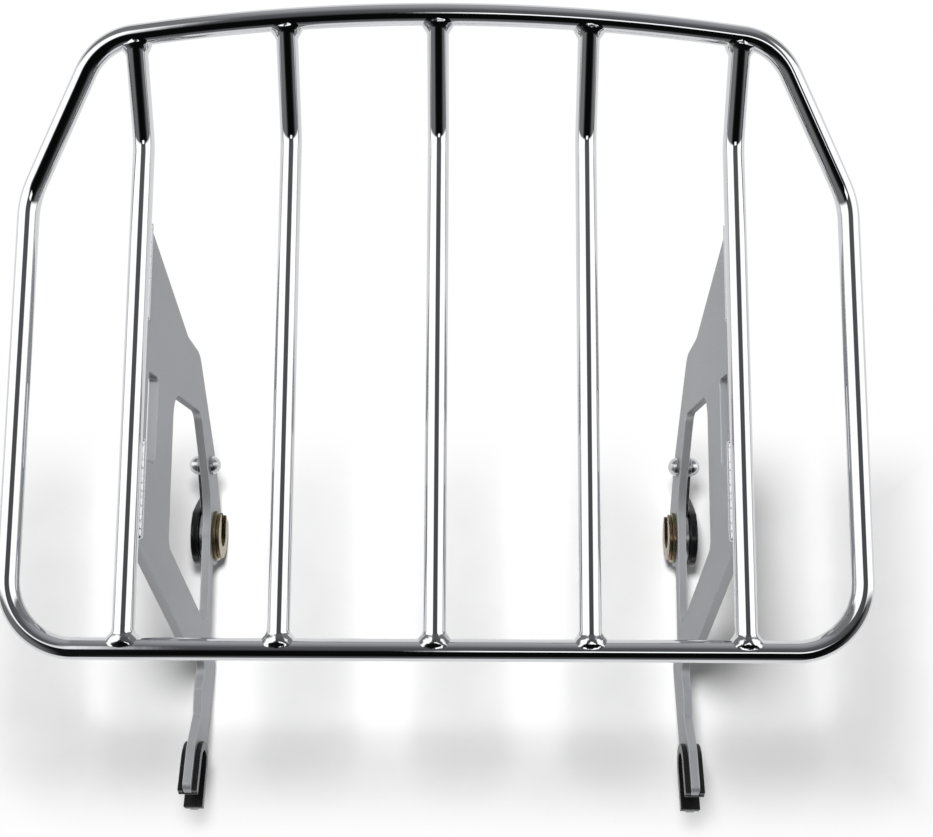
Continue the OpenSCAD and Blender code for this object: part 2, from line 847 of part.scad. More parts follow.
hoop();
bar(-2);  // bar_left_outer
bar(-1);  // bar_left_inner
bar(0);  // bar_centre
bar(1);  // bar_right_inner
bar(2);  // bar_right_outer
front_welds();
rear_welds();
side_plate(-1);  // side_plate_left
side_plate(1);  // side_plate_right
plate_welds(-1);  // plate_welds_left
plate_welds(1);  // plate_welds_right
notch_liner(-1);  // notch_liner_left
notch_liner(1);  // notch_liner_right
keeper_strap(-1);  // keeper_strap_left
keeper_strap(1);  // keeper_strap_right
dome_rivet(-1);  // dome_rivet_left
dome_rivet(1);  // dome_rivet_right
latch_barrel(-1);  // latch_barrel_left
latch_barrel(1);  // latch_barrel_right
retaining_ring(-1);  // retaining_ring_left
retaining_ring(1);  // retaining_ring_right
latch_lever(-1);  // latch_lever_left
latch_lever(1);  // latch_lever_right
lever_screw(-1);  // lever_screw_left
lever_screw(1);  // lever_screw_right
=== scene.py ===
# %% [markdown]
# # A chromed motorcycle luggage rack
#
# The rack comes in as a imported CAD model. This lesson dresses it: the rods and the weld
# beads are modelled again with the smooth, rounded forms that chrome needs, the flat pieces
# get soft edges, and every piece gets a finish made from nodes. Lengths are in metres, +X is
# the rack's right, +Y is the rear of the motorcycle and +Z is up.

import math

import bpy
from mathutils import Matrix, Vector


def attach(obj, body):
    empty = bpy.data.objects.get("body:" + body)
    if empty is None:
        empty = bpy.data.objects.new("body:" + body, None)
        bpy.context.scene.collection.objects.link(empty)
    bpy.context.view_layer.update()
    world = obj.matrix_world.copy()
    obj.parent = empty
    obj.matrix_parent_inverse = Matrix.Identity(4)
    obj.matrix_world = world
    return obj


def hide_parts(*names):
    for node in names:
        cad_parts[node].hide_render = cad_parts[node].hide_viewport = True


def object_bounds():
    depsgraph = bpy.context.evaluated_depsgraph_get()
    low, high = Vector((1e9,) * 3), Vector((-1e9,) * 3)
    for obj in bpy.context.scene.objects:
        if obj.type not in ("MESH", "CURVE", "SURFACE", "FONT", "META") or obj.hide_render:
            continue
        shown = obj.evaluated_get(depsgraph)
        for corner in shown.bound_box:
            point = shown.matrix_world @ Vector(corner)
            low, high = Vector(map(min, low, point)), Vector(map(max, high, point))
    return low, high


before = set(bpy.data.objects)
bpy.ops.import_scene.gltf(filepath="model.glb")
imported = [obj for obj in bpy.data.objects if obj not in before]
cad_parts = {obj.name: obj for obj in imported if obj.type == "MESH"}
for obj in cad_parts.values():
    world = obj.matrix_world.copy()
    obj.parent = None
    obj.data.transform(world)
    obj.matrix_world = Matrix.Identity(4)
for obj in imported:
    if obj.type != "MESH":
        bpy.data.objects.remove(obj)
cad_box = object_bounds()

# %% [markdown]
# ## Working by hand, in code
#
# Operators act on whatever is selected, just as they do under the mouse. A few small
# helpers keep that tidy: they clear the selection, pick one object, apply its modifiers and
# join parts. The last one ends the work on a piece by baking its place into its mesh, so
# that its object sits at the origin and a pattern on Object coordinates lines up with the
# rack.

# %% Selection and finishing helpers
def deselect_all():
    if bpy.context.mode != "OBJECT":
        bpy.ops.object.mode_set(mode="OBJECT")
    bpy.ops.object.select_all(action="DESELECT")


def make_active(obj):
    deselect_all()
    obj.select_set(True)
    bpy.context.view_layer.objects.active = obj


def apply_modifiers(obj):
    make_active(obj)
    for modifier in list(obj.modifiers):
        bpy.ops.object.modifier_apply(modifier=modifier.name)


def join_parts(parts):
    """Joins separate objects into the first one and returns it."""
    deselect_all()
    for part in parts:
        part.select_set(True)
    bpy.context.view_layer.objects.active = parts[0]
    bpy.ops.object.join()
    return bpy.context.object


def finish_piece(obj, name, body, node, smooth_angle=35):
    """Bakes the piece's place, shades it, names it, rides it and stands it in for its CAD node."""
    make_active(obj)
    bpy.ops.object.transform_apply(location=True, rotation=True, scale=True)
    bpy.ops.object.shade_smooth_by_angle(angle=math.radians(smooth_angle))
    obj.name = name
    obj.data.name = name
    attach(obj, body)
    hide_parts(node)
    print(f"{name}: {len(obj.data.polygons)} faces, stands for {node}")


# %% [markdown]
# ## Measures of the rod work
#
# These repeat the driving sizes of the part, in metres. The level deck lies in one plane,
# its back is lifted in a second, tilted plane, and the back rod is a shallow arc in it.

# %% Measures
MM = 0.001
to_left, to_right = Vector((-1, 0, 0)), Vector((1, 0, 0))
to_rear, upward = Vector((0, 1, 0)), Vector((0, 0, 1))
rod_r = 5 * MM
half_w = 190.5 * MM
deck_y, deck_z = 67 * MM, 162 * MM
deck_len, deck_level, back_rise = 285.5 * MM, 206 * MM, 26 * MM
front_corner_r, back_corner_r, side_bend_r = 31 * MM, 30 * MM, 30 * MM
back_bow_r = 1.0
bar_pitch = 69 * MM
bar_bend_r = 22 * MM
side_lean = math.radians(26.7)
bar_slope = math.radians(28)

back_run = deck_len - deck_level
back_tilt = math.atan2(back_rise, back_run)
back_depth = math.hypot(back_run, back_rise)
bow_centre_y = back_depth - back_bow_r
print(f"back tilt {math.degrees(back_tilt):.2f} degrees over {back_depth * 1000:.1f} mm")


def bow_at(x):
    """Distance of the back rod from the bend line, in the tilted plane."""
    return bow_centre_y + math.sqrt(back_bow_r**2 - x**2)


def bar_end(x):
    """Where the bar at x meets the back rod's centre line."""
    reach = bow_at(x)
    y = deck_y + deck_level + reach * math.cos(back_tilt)
    z = deck_z + reach * math.sin(back_tilt)
    return Vector((x, y, z))


# %% [markdown]
# ## Bent rods
#
# The real hoop and bars are cold bent from one round rod. Chrome shows every flat, so the
# rods are drawn here as a rod bender works: a circle is pushed forward by an extrude, and
# swung round a bend's axis by a spin. The same few steps make the bars and the hoop.

# %% Push and bend
ROD_SIDES = 48
MERGE_GAP = 0.001 * MM


def heading_turn(heading):
    """The turn that points a new circle's or cylinder's axis along heading."""
    return upward.rotation_difference(heading).to_euler()


def start_rod(at, heading):
    """Adds a circle that faces along heading and leaves its edge selected in edit mode."""
    deselect_all()
    bpy.ops.mesh.primitive_circle_add(
        vertices=ROD_SIDES, radius=rod_r, location=at, rotation=heading_turn(heading)
    )
    obj = bpy.context.object
    bpy.ops.object.transform_apply(location=True, rotation=True, scale=True)
    bpy.ops.object.mode_set(mode="EDIT")
    bpy.ops.mesh.select_all(action="SELECT")
    return obj


def push(step):
    """Extrudes the selected end of the rod by a vector."""
    bpy.ops.mesh.extrude_region_move(TRANSFORM_OT_translate={"value": step})


def bend(centre, axis, angle, step_angle):
    """Spins the selected end of the rod round a bend's axis, by the right-hand rule."""
    steps = max(2, math.ceil(abs(angle) / step_angle))
    bpy.ops.mesh.spin(steps=steps, angle=-angle, center=centre, axis=axis)


def face_outwards():
    """Points all faces of the mesh in edit mode outwards, and leaves edit mode."""
    bpy.ops.mesh.select_all(action="SELECT")
    bpy.ops.mesh.normals_make_consistent(inside=False)
    bpy.ops.object.mode_set(mode="OBJECT")


def end_rod(fill=True):
    """Merges the rod's doubles and closes its ends, unless it goes on in a mirror."""
    bpy.ops.mesh.select_all(action="SELECT")
    bpy.ops.mesh.remove_doubles(threshold=MERGE_GAP)
    if fill:
        bpy.ops.mesh.select_all(action="DESELECT")
        bpy.ops.mesh.select_non_manifold()
        bpy.ops.mesh.edge_face_add()
    face_outwards()


def selected_centre(obj):
    """Middle of the selected vertices, read back from edit mode."""
    bpy.ops.object.mode_set(mode="OBJECT")
    picked = [v.co.copy() for v in obj.data.vertices if v.select]
    bpy.ops.object.mode_set(mode="EDIT")
    return sum(picked, Vector()) / len(picked)


# %% [markdown]
# ## The five bars
#
# Each bar leaves the front rod level, bends up behind the hoop's side bends and ends on the
# back rod. Its two ends stop just inside the weld beads, so the beads close the joint.

# %% Bars
TOE = 0.6 * MM
BAR_STEP = math.radians(4)
BAR_PLACES = {"left_outer": -2, "left_inner": -1, "centre": 0, "right_inner": 1, "right_outer": 2}


def bar_rod(x):
    """Draws one bar, from the front rod to the back rod."""
    end = bar_end(x)
    bend_y = end.y - (end.z - deck_z) / math.tan(bar_slope)
    trim = bar_bend_r * math.tan(bar_slope / 2)
    front_y = deck_y + rod_r - TOE
    slope_dir = Vector((0, math.cos(bar_slope), math.sin(bar_slope)))
    obj = start_rod(Vector((x, front_y, deck_z)), to_rear)
    push(Vector((0, bend_y - trim - front_y, 0)))
    bend(Vector((x, bend_y - trim, deck_z + bar_bend_r)), to_right, bar_slope, BAR_STEP)
    bent = Vector((x, bend_y, deck_z)) + trim * slope_dir
    push(slope_dir * ((end - bent).length - rod_r + TOE))
    end_rod()
    return obj


bars = {}
for name, place in BAR_PLACES.items():
    bars[name] = bar_rod(place * bar_pitch)
    finish_piece(bars[name], "rod_bar_" + name, "rack", "bar_" + name)

# %% [markdown]
# ## The hoop
#
# The hoop is one closed loop: along the front, round a corner, back along the side, up and
# inward through the side bend, round the back corner and along the bowed back. Only the
# left half is drawn. A mirror across the middle makes the other half and welds the two.
# The first cell works out how far the leaning side runs before the back corner starts.

# %% Where the back corners start
lean_dir = Vector((-math.sin(side_lean), math.cos(side_lean)))
lean_in = Vector((-math.cos(side_lean), -math.sin(side_lean)))
corner_start = Vector((half_w, -bow_centre_y)) + back_corner_r * lean_in
half_b = corner_start.dot(lean_dir)
corner_along = -half_b + math.sqrt(
    half_b**2 - corner_start.length_squared + (back_bow_r - back_corner_r) ** 2
)
corner_at = corner_start + corner_along * lean_dir
bow_angle = math.atan2(corner_at.x, corner_at.y)
corner_angle = math.pi / 2 - side_lean - bow_angle
print(f"leaning side {corner_along * 1000:.1f} mm, back bow {math.degrees(bow_angle):.2f} degrees")

# %% Headings and axes of the hoop's bends
HOOP_STEP, BOW_STEP = math.radians(3), math.radians(0.5)
lean_run = Vector((
    math.sin(side_lean),
    math.cos(side_lean) * math.cos(back_tilt),
    math.cos(side_lean) * math.sin(back_tilt),
))
side_turn = to_rear.angle(lean_run)
side_axis = to_rear.cross(lean_run).normalized()
side_trim = side_bend_r * math.tan(side_turn / 2)
back_up = Vector((0, -math.sin(back_tilt), math.cos(back_tilt)))
print(f"side bend {math.degrees(side_turn):.2f} degrees")


def bend_left_of(at, heading, axis, radius, angle, step_angle=HOOP_STEP):
    """Bends the rod's end round an axis on its left and returns its new heading."""
    bend(at + radius * axis.cross(heading), axis, angle, step_angle)
    return Matrix.Rotation(angle, 3, axis) @ heading


# %% Hoop
MIRROR_MERGE = 0.1 * MM
hoop = start_rod(Vector((0, deck_y, deck_z)), to_left)
push(Vector((front_corner_r - half_w, 0, 0)))
at = Vector((front_corner_r - half_w, deck_y, deck_z))
bend_left_of(at, to_left, -upward, front_corner_r, math.pi / 2)
push(to_rear * (deck_level - side_trim - front_corner_r))
at = Vector((-half_w, deck_y + deck_level - side_trim, deck_z))
bend_left_of(at, to_rear, side_axis, side_bend_r, side_turn)
push(lean_run * (corner_along - side_trim))
at = Vector((-half_w, deck_y + deck_level, deck_z)) + lean_run * corner_along
heading = bend_left_of(at, lean_run, -back_up, back_corner_r, corner_angle)
at = selected_centre(hoop)
bend_left_of(at, heading, -back_up, back_bow_r, bow_angle, BOW_STEP)
print("back middle misses the centre plane by", round(selected_centre(hoop).x * 1000, 3), "mm")
end_rod(fill=False)
make_active(hoop)
mirror = hoop.modifiers.new("other_half", "MIRROR")
mirror.use_clip = True
mirror.merge_threshold = MIRROR_MERGE
apply_modifiers(hoop)
bpy.ops.object.mode_set(mode="EDIT")
face_outwards()
finish_piece(hoop, "rod_hoop", "rack", "hoop")

# %% [markdown]
# ## Fillet welds at the bar ends
#
# A weld wets both rods and leaves a hollow fillet between them, with a low crown on top.
# A remesh is a quick way to that form: a flared cone, a short length of each rod and a low
# ball are fused by a voxel remesh. Smoothing then fills the inner corners just as molten
# metal does, and it draws the round stubs a little inside the rods, so no edge shows there.

# %% Parts of a rod weld
PART_SIDES = 40
FLARE_L, FLARE_W = 6.8 * MM, 4.6 * MM
FLARE_TIP_R = rod_r * 0.8
FLARE_START = rod_r * 0.5
FLARE_FLATNESS = 0.62
MELT_FACTOR = 0.5


def add_stub(at, heading, length, radius):
    deselect_all()
    bpy.ops.mesh.primitive_cylinder_add(
        vertices=PART_SIDES, radius=radius, depth=length, location=at, rotation=heading_turn(heading)
    )
    return bpy.context.object


def add_flare(at, bar_heading, rod_heading, up):
    """A cone that widens towards the rod, pressed flat so that it stays low over the joint."""
    deselect_all()
    bpy.ops.mesh.primitive_cone_add(
        vertices=PART_SIDES, radius1=rod_r + FLARE_W, radius2=FLARE_TIP_R, depth=FLARE_L, location=(0, 0, 0)
    )
    flare = bpy.context.object
    bpy.ops.object.mode_set(mode="EDIT")
    bpy.ops.transform.resize(value=(1, FLARE_FLATNESS, 1))
    bpy.ops.object.mode_set(mode="OBJECT")
    frame_turn = Matrix((rod_heading, up, bar_heading)).transposed()
    if frame_turn.determinant() < 0:
        frame_turn = Matrix((-rod_heading, up, bar_heading)).transposed()
    flare.rotation_euler = frame_turn.to_euler()
    flare.location = at + bar_heading * (FLARE_START + FLARE_L / 2)
    bpy.ops.object.transform_apply(location=True, rotation=True, scale=True)
    return flare


def fuse(parts, voxel, rounds):
    """Joins overlapping parts into one smooth skin."""
    obj = join_parts(parts)
    remesh = obj.modifiers.new("fuse", "REMESH")
    remesh.mode = "VOXEL"
    remesh.voxel_size = voxel
    melt = obj.modifiers.new("melt", "SMOOTH")
    melt.factor = MELT_FACTOR
    melt.iterations = rounds
    apply_modifiers(obj)
    return obj


# %% One rod weld
WELD_VOXEL, WELD_ROUNDS = 0.4 * MM, 100
STUB_L = 15 * MM
weld_leg, weld_crown = 3.2 * MM, 1.5 * MM
crown_along_rod = rod_r + weld_leg * 0.7
crown_along_bar = rod_r * 0.55
crown_upwards = rod_r + weld_crown * 0.5


def rod_weld(at, bar_heading, rod_heading, up, inward=0.0):
    """A bead where a bar runs into a rod at a point on the rod's centre line."""
    crown_at = at + bar_heading * rod_r
    deselect_all()
    bpy.ops.mesh.primitive_uv_sphere_add(segments=32, ring_count=16, radius=1, location=crown_at)
    crown = bpy.context.object
    crown.rotation_euler = Matrix((rod_heading, bar_heading, up)).transposed().to_euler()
    crown.scale = (crown_along_rod, crown_along_bar, crown_upwards)
    bpy.ops.object.transform_apply(location=True, rotation=True, scale=True)
    flare = add_flare(at, bar_heading, rod_heading, up)
    along_bar = add_stub(at + bar_heading * STUB_L / 2, bar_heading, STUB_L, rod_r)
    along_rod = add_stub(at + rod_heading * inward, rod_heading, STUB_L - 2 * abs(inward), rod_r)
    return fuse([crown, flare, along_bar, along_rod], WELD_VOXEL, WELD_ROUNDS)


def join_as(parts, name, node):
    """Joins the beads of one node into one piece of the rack."""
    piece = join_parts(parts)
    finish_piece(piece, name, "rack", node, smooth_angle=80)
    return piece


# %% [markdown]
# ## Ten rod welds
#
# The front beads all stand alike. The back rod is bowed and tilted, so each rear bead is
# turned with it, and the outermost two are kept clear of the back corners, where the rod
# already curves away.

# %% Rod welds
CORNER_SHIFT = 3.0 * MM
slope_back = -Vector((0, math.cos(bar_slope), math.sin(bar_slope)))
front_beads, rear_beads = [], []
for place in BAR_PLACES.values():
    x = place * bar_pitch
    front_beads.append(rod_weld(Vector((x, deck_y, deck_z)), to_rear, to_right, upward))
    swing = Matrix.Rotation(-math.asin(x / back_bow_r), 3, back_up)
    rod_run = swing @ to_right
    up = rod_run.cross(slope_back).normalized()
    inward = -math.copysign(CORNER_SHIFT, place) if abs(place) == 2 else 0.0
    rear_beads.append(rod_weld(bar_end(x), slope_back, rod_run, -up, inward))
front_weld_piece = join_as(front_beads, "weld_front_fillets", "front_welds")
rear_weld_piece = join_as(rear_beads, "weld_rear_fillets", "rear_welds")

# %% [markdown]
# ## Stitch beads under the outer bars
#
# The plates hang on short hand-laid beads, two on each face. Each bead is a row of
# overlapping drops, so a row of flattened balls is laid along the joint and fused with a
# light remesh that keeps the ripples. The front beads are laid on fuller than the rear ones.

# %% One stitch bead
DROP_PITCH = 1.3 * MM
DROP_FLATNESS = 0.72
WANDER, WANDER_TURN = 0.13 * MM, 2.4
BEAD_VOXEL, BEAD_ROUNDS = 0.4 * MM, 16


def stitch_bead(x, z, y_start, y_stop, bead_r):
    """A row of drops that wanders a little up and down, as a hand does."""
    count = round((y_stop - y_start) / DROP_PITCH)
    drops = []
    for i in range(count + 1):
        drop_y = y_start + (y_stop - y_start) * i / count
        drop_z = z + WANDER * math.sin(i * WANDER_TURN)
        deselect_all()
        bpy.ops.mesh.primitive_uv_sphere_add(
            segments=20,
            ring_count=10,
            radius=bead_r,
            location=(x, drop_y, drop_z),
            scale=(1, DROP_FLATNESS, 1),
        )
        drops.append(bpy.context.object)
    return fuse(drops, BEAD_VOXEL, BEAD_ROUNDS)


# %% Plate beads
SIDES = {"left": -1, "right": 1}
plate_x = 2 * bar_pitch
plate_half_t = 2.4 * MM
plate_top_z = deck_z - math.sqrt(rod_r**2 - plate_half_t**2)
top_front, top_rear = 49.5 * MM, 199 * MM
end_gap = 2.0 * MM
bead_l = 48 * MM
FRONT_BEAD_R, REAR_BEAD_R = 2.3 * MM, 1.7 * MM
front_bead_y = deck_y + top_front - end_gap
rear_bead_y = deck_y + top_rear - end_gap - bead_l

plate_weld_pieces = []
for side, sign in SIDES.items():
    beads = []
    for face in (-1, 1):
        for y0, bead_r in ((front_bead_y, FRONT_BEAD_R), (rear_bead_y, REAR_BEAD_R)):
            x = sign * plate_x + face * (plate_half_t + bead_r / 2)
            z = plate_top_z - bead_r / 3
            beads.append(stitch_bead(x, z, y0 + bead_r, y0 + bead_l - bead_r, bead_r))
    plate_weld_pieces.append(join_as(beads, "weld_stitches_" + side, "plate_welds_" + side))

# %% [markdown]
# ## Soft edges on the flat pieces
#
# Stamped plate is tumbled and polished before it is plated, so no edge on it is sharp, and
# a rounded edge is what catches the light in chrome. Each piece is copied from its CAD node,
# its loose triangles are merged into clean faces, and a bevel rounds its edges. The strap
# slot in the plates reaches up near the bar, so the corners of its top edge are first picked
# by their place and lifted.

# %% The strap slot's top edge
SLOT_FROM = Vector((-1, 150 * MM, 131.2 * MM))
SLOT_TO = Vector((1, 198 * MM, 137 * MM))
SLOT_LIFT = 9 * MM


def raise_slot_top(obj):
    """Lifts the upper half of the strap slot in the mesh that is in edit mode."""
    bpy.ops.mesh.select_all(action="DESELECT")
    bpy.ops.object.mode_set(mode="OBJECT")
    for v in obj.data.vertices:
        v.select = all(low < c < high for low, c, high in zip(SLOT_FROM, v.co, SLOT_TO))
    print("slot corners lifted:", sum(v.select for v in obj.data.vertices))
    bpy.ops.object.mode_set(mode="EDIT")
    bpy.ops.transform.translate(value=(0, 0, SLOT_LIFT))


# %% Rounded copies of the CAD nodes
CAD_MERGE_GAP = 0.002 * MM
FLAT_ANGLE, BEVEL_ANGLE = math.radians(0.5), math.radians(38)
BEVEL_SEGMENTS = 3
FACE_WEIGHT = 60


def soft_copy(node, body, width):
    """Copies a CAD node, merges its triangles and rounds its edges by width."""
    make_active(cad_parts[node])
    bpy.ops.object.duplicate()
    obj = bpy.context.object
    obj.data.materials.clear()
    bpy.ops.object.mode_set(mode="EDIT")
    bpy.ops.mesh.select_all(action="SELECT")
    bpy.ops.mesh.remove_doubles(threshold=CAD_MERGE_GAP)
    bpy.ops.mesh.dissolve_limited(angle_limit=FLAT_ANGLE)
    if node.startswith("side_plate"):
        raise_slot_top(obj)
    bpy.ops.object.mode_set(mode="OBJECT")
    bevel = obj.modifiers.new("soft_edges", "BEVEL")
    bevel.width = width
    bevel.segments = BEVEL_SEGMENTS
    bevel.limit_method = "ANGLE"
    bevel.angle_limit = BEVEL_ANGLE
    bevel.use_clamp_overlap = False
    apply_modifiers(obj)
    finish_piece(obj, "soft_" + node, body, node)
    even = obj.modifiers.new("flat_faces", "WEIGHTED_NORMAL")
    even.keep_sharp = True
    even.weight = FACE_WEIGHT
    apply_modifiers(obj)
    return obj


# %% The sixteen flat and turned pieces
SOFT_PIECES = {
    "side_plate": ("rack", 0.55 * MM),
    "notch_liner": ("rack", 0.35 * MM),
    "keeper_strap": ("rack", 0.3 * MM),
    "dome_rivet": ("rack", 0.15 * MM),
    "latch_barrel": ("latch", 0.25 * MM),
    "retaining_ring": ("latch", 0.3 * MM),
    "latch_lever": ("latch", 0.9 * MM),
    "lever_screw": ("latch", 0.2 * MM),
}
soft = {}
for kind, (home, width) in SOFT_PIECES.items():
    for side in SIDES:
        body = home if home == "rack" else f"{home}_{side}"
        soft[kind, side] = soft_copy(f"{kind}_{side}", body, width)

# %% [markdown]
# ## Finishes
#
# Chrome is a mirror with almost no colour of its own, so its finish lives in what it
# reflects. A faint cool tint, a roughness that drifts over the surface and a hint of
# waviness under the plating keep it from looking like computer glass.

# %% Material helpers
NOISE_LOW, NOISE_HIGH = 0.3, 0.7


def new_finish(name):
    finish = bpy.data.materials.new(name)
    finish.use_nodes = True
    nodes, links = finish.node_tree.nodes, finish.node_tree.links
    shader = nodes["Principled BSDF"]
    place = nodes.new("ShaderNodeTexCoord")
    return finish, nodes, links, shader, place


def noise(nodes, links, vector, scale, detail, rough=0.55):
    """Noise on a vector in metres: a scale of 1000 has features of about a millimetre."""
    texture = nodes.new("ShaderNodeTexNoise")
    texture.inputs["Scale"].default_value = scale
    texture.inputs["Detail"].default_value = detail
    texture.inputs["Roughness"].default_value = rough
    links.new(vector, texture.inputs["Vector"])
    return texture.outputs["Fac"]


def stretched(nodes, links, place, scale):
    """Object coordinates, stretched along the axes whose scale is below 1."""
    mapping = nodes.new("ShaderNodeMapping")
    mapping.inputs["Scale"].default_value = scale
    links.new(place.outputs["Object"], mapping.inputs["Vector"])
    return mapping.outputs["Vector"]


def between(nodes, links, fac, low, high):
    """Maps noise to a range of one number."""
    spread = nodes.new("ShaderNodeMapRange")
    spread.inputs["From Min"].default_value = NOISE_LOW
    spread.inputs["From Max"].default_value = NOISE_HIGH
    spread.inputs["To Min"].default_value = low
    spread.inputs["To Max"].default_value = high
    links.new(fac, spread.inputs["Value"])
    return spread.outputs["Result"]


def colours(nodes, links, fac, stops):
    """Maps noise to a run of colours, given as (position, colour)."""
    ramp = nodes.new("ShaderNodeValToRGB")
    elements = ramp.color_ramp.elements
    while len(elements) < len(stops):
        elements.new(0.5)
    for element, (position, colour) in zip(elements, stops):
        element.position = position
        element.color = (*colour, 1)
    links.new(fac, ramp.inputs["Fac"])
    return ramp.outputs["Color"]


def bump(nodes, links, height, distance):
    node = nodes.new("ShaderNodeBump")
    node.inputs["Strength"].default_value = 1.0
    node.inputs["Distance"].default_value = distance
    links.new(height, node.inputs["Height"])
    return node.outputs["Normal"]


# %% [markdown]
# ## Four chromes
#
# The rods are polished like a mirror. The welds ripple under the same plating, and the small
# beads and rivets are duller, because no wheel reaches them. The plates are satin: their
# finish is less metallic, with a dim highlight, so they read as an even light grey.

# %% Chrome finishes
DRIFT_SCALE = 14
FINE_SCALE = 900


def chrome_finish(
    name, tint, dark_tint, rough, wave_scale, wave_height,
    grain=(1, 1, 1), metallic=1.0, specular_tint=(1, 1, 1),
):
    finish, nodes, links, shader, place = new_finish(name)
    where = stretched(nodes, links, place, grain)
    broad = noise(nodes, links, where, DRIFT_SCALE, detail=2)
    fine = noise(nodes, links, where, FINE_SCALE, detail=5, rough=0.6)
    wave = noise(nodes, links, where, wave_scale, detail=2)
    stops = [(NOISE_LOW, dark_tint), (NOISE_HIGH, tint)]
    links.new(colours(nodes, links, broad, stops), shader.inputs["Base Color"])
    links.new(between(nodes, links, fine, *rough), shader.inputs["Roughness"])
    links.new(bump(nodes, links, wave, wave_height), shader.inputs["Normal"])
    shader.inputs["Metallic"].default_value = metallic
    shader.inputs["Specular Tint"].default_value = (*specular_tint, 1)
    return finish


rod_chrome = chrome_finish(
    "chrome_on_rod",
    tint=(0.64, 0.645, 0.66),
    dark_tint=(0.59, 0.60, 0.62),
    rough=(0.015, 0.05),
    wave_scale=120,
    wave_height=0.02 * MM,
)
plate_chrome = chrome_finish(
    "chrome_on_plate",
    tint=(0.47, 0.483, 0.50),
    dark_tint=(0.42, 0.433, 0.45),
    rough=(0.34, 0.44),
    wave_scale=45,
    wave_height=0.05 * MM,
    grain=(1, 1, 0.4),
    metallic=0.6,
    specular_tint=(0.30, 0.31, 0.32),
)
weld_chrome = chrome_finish(
    "chrome_on_weld",
    tint=(0.66, 0.67, 0.68),
    dark_tint=(0.58, 0.59, 0.61),
    rough=(0.03, 0.09),
    wave_scale=420,
    wave_height=0.10 * MM,
)
dull_chrome = chrome_finish(
    "chrome_on_beads_and_rivets",
    tint=(0.62, 0.63, 0.645),
    dark_tint=(0.54, 0.55, 0.57),
    rough=(0.20, 0.30),
    wave_scale=300,
    wave_height=0.05 * MM,
)
print("chromes:", [m.name for m in (rod_chrome, plate_chrome, weld_chrome, dull_chrome)])

# %% [markdown]
# ## Moulded black, yellow zinc and plain steel
#
# The liners and levers are dull black moulded plastic with a fine orange-peel and only a
# thin gloss. The barrel and its ring have the rainbow of a yellow chromate over zinc, which
# drifts between gold, green and rose. The strap and the screw are bare steel, brushed along
# their length.

# %% Moulded black
DUST_SCALE = 60
DUST_LOW, DUST_HIGH = 0.35, 0.75
GLOSS, THIN_COAT, COAT_ROUGH = 0.3, 0.08, 0.15


def black_finish(name, base, sheen_base, rough, peel_scale, peel_height):
    finish, nodes, links, shader, place = new_finish(name)
    where = place.outputs["Object"]
    dust = noise(nodes, links, where, DUST_SCALE, detail=3)
    peel = noise(nodes, links, where, peel_scale, detail=3)
    stops = [(DUST_LOW, base), (DUST_HIGH, sheen_base)]
    links.new(colours(nodes, links, dust, stops), shader.inputs["Base Color"])
    links.new(between(nodes, links, dust, *rough), shader.inputs["Roughness"])
    links.new(bump(nodes, links, peel, peel_height), shader.inputs["Normal"])
    shader.inputs["Specular IOR Level"].default_value = GLOSS
    shader.inputs["Coat Weight"].default_value = THIN_COAT
    shader.inputs["Coat Roughness"].default_value = COAT_ROUGH
    return finish


liner_black = black_finish(
    "moulded_black",
    base=(0.004, 0.004, 0.0045),
    sheen_base=(0.010, 0.010, 0.011),
    rough=(0.20, 0.32),
    peel_scale=1100,
    peel_height=0.02 * MM,
)
lever_black = black_finish(
    "lever_black",
    base=(0.003, 0.003, 0.0035),
    sheen_base=(0.008, 0.008, 0.009),
    rough=(0.12, 0.20),
    peel_scale=700,
    peel_height=0.02 * MM,
)
print("blacks:", [m.name for m in (liner_black, lever_black)])


# %% Yellow zinc and brushed steel
def zinc_finish():
    finish, nodes, links, shader, place = new_finish("yellow_zinc")
    where = place.outputs["Object"]
    drift = noise(nodes, links, where, scale=160, detail=3)
    grain = noise(nodes, links, where, scale=1400, detail=4)
    tones = [
        (0.30, (0.20, 0.20, 0.13)),
        (0.48, (0.25, 0.20, 0.11)),
        (0.62, (0.26, 0.18, 0.12)),
        (0.75, (0.21, 0.20, 0.12)),
    ]
    links.new(colours(nodes, links, drift, tones), shader.inputs["Base Color"])
    links.new(between(nodes, links, grain, low=0.20, high=0.36), shader.inputs["Roughness"])
    links.new(bump(nodes, links, grain, distance=0.01 * MM), shader.inputs["Normal"])
    shader.inputs["Metallic"].default_value = 1.0
    return finish


def steel_finish():
    finish, nodes, links, shader, place = new_finish("brushed_steel")
    brushed = stretched(nodes, links, place, scale=(1, 0.12, 1))
    lines = noise(nodes, links, brushed, scale=2600, detail=3)
    patches = noise(nodes, links, place.outputs["Object"], scale=50, detail=3)
    stops = [(NOISE_LOW, (0.52, 0.53, 0.55)), (NOISE_HIGH, (0.64, 0.65, 0.66))]
    links.new(colours(nodes, links, patches, stops), shader.inputs["Base Color"])
    links.new(between(nodes, links, lines, low=0.22, high=0.42), shader.inputs["Roughness"])
    links.new(bump(nodes, links, lines, distance=0.008 * MM), shader.inputs["Normal"])
    shader.inputs["Metallic"].default_value = 1.0
    return finish


yellow_zinc = zinc_finish()
bare_steel = steel_finish()
print("metals:", yellow_zinc.name, bare_steel.name)


# %% Put the finishes on
def wear(obj, finish, slot):
    obj.data.materials.clear()
    obj.data.materials.append(finish)


